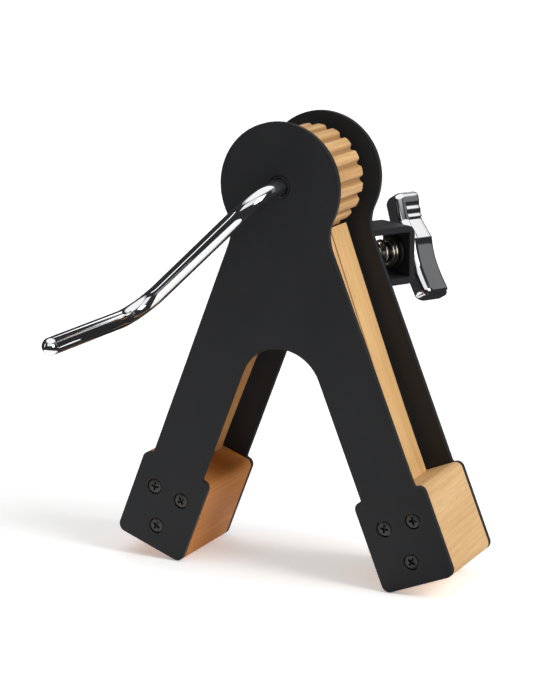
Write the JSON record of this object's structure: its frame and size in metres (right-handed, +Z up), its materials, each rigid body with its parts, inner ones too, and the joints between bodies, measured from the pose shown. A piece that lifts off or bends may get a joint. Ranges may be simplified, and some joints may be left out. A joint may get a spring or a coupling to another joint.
{
  "type": "orchestral ratchet",
  "caption": "Orchestral ratchet: a crank turns a toothed wooden gear against springy wooden tongues between A-shaped steel plates, with a stand clamp at the back.",
  "frame": {"origin": "under the middle of the whole object's box, on the surface it stands on", "axes": "+Z up, -Y towards the crank's handle at the front, +X to the right seen from the front; the shaft runs along Y"},
  "size_m": [0.2032, 0.2366, 0.2516],
  "materials": {
    "black_steel": "matte black powder coat",
    "pale_wood": "clear satin lacquer",
    "golden_wood": "clear satin lacquer",
    "chrome": "polished chrome plate",
    "zinc_steel": "bright zinc plate",
    "black_nylon": "plain",
    "black_screw": "black oxide"
  },
  "bodies": {
    "frame": {"front_plate": "black_steel", "rear_plate": "black_steel", "left_foot_block": "pale_wood", "right_foot_block": "pale_wood", "front_bush": "black_nylon", "rear_bush": "black_nylon", "mount_bracket": "black_steel", "clamp_bush": "black_nylon", "clamp_washer": "zinc_steel", "front_left_outer_screw": "black_screw", "front_left_inner_screw": "black_screw", "front_left_lower_screw": "black_screw", "front_right_outer_screw": "black_screw", "front_right_inner_screw": "black_screw", "front_right_lower_screw": "black_screw", "rear_left_outer_screw": "black_screw", "rear_left_inner_screw": "black_screw", "rear_left_lower_screw": "black_screw", "rear_right_outer_screw": "black_screw", "rear_right_inner_screw": "black_screw", "rear_right_lower_screw": "black_screw"},
    "crank": {"crank_rod": "chrome", "ratchet_gear": "golden_wood", "gear_pin": "zinc_steel", "front_spacer": "black_nylon", "rear_spacer": "black_nylon", "thrust_washer": "zinc_steel", "retaining_ring": "zinc_steel"},
    "eye": {"eye_bolt": "zinc_steel", "spring_washer": "zinc_steel", "clamp_spring": "chrome"},
    "wing": {"wing_handle": "chrome"},
    "left_front_tongue": {"left_front_tongue": "golden_wood"},
    "left_rear_tongue": {"left_rear_tongue": "golden_wood"},
    "right_front_tongue": {"right_front_tongue": "golden_wood"},
    "right_rear_tongue": {"right_rear_tongue": "golden_wood"}
  },
  "joints": [
    {"name": "crank_spin", "type": "hinge", "parent": "frame", "child": "crank", "pos_m": [0, 0.02544, 0.21662], "axis": [0, 1, 0], "continuous": true},
    {"name": "left_front_tongue_flex", "type": "hinge", "parent": "frame", "child": "left_front_tongue", "pos_m": [-0.06597, 0.01449, 0.04915], "axis": [0, 1, 0], "range_deg": [-3, 0.8], "stiffness_Nm_per_rad": 53},
    {"name": "left_rear_tongue_flex", "type": "hinge", "parent": "frame", "child": "left_rear_tongue", "pos_m": [-0.06597, 0.03639, 0.04915], "axis": [0, 1, 0], "range_deg": [-3, 0.8], "stiffness_Nm_per_rad": 53},
    {"name": "right_front_tongue_flex", "type": "hinge", "parent": "frame", "child": "right_front_tongue", "pos_m": [0.06597, 0.01449, 0.04915], "axis": [0, 1, 0], "range_deg": [-3, 0.8], "stiffness_Nm_per_rad": 53},
    {"name": "right_rear_tongue_flex", "type": "hinge", "parent": "frame", "child": "right_rear_tongue", "pos_m": [0.06597, 0.03639, 0.04915], "axis": [0, 1, 0], "range_deg": [-3, 0.8], "stiffness_Nm_per_rad": 53},
    {"name": "wing_turn", "type": "hinge", "parent": "frame", "child": "wing", "pos_m": [0.03127, 0.09051, 0.16922], "axis": [0.5, 0.866, 0], "range_deg": [-1417, 0]},
    {"name": "eye_slide", "type": "slide", "parent": "frame", "child": "eye", "axis": [0.5, 0.866, 0], "range_m": [0, 0.005], "deforming": ["clamp_spring"]}
  ],
  "couplings": [
    {"joint": "eye_slide", "follows": "wing_turn", "m_per_rad": -0.00020213}
  ]
}
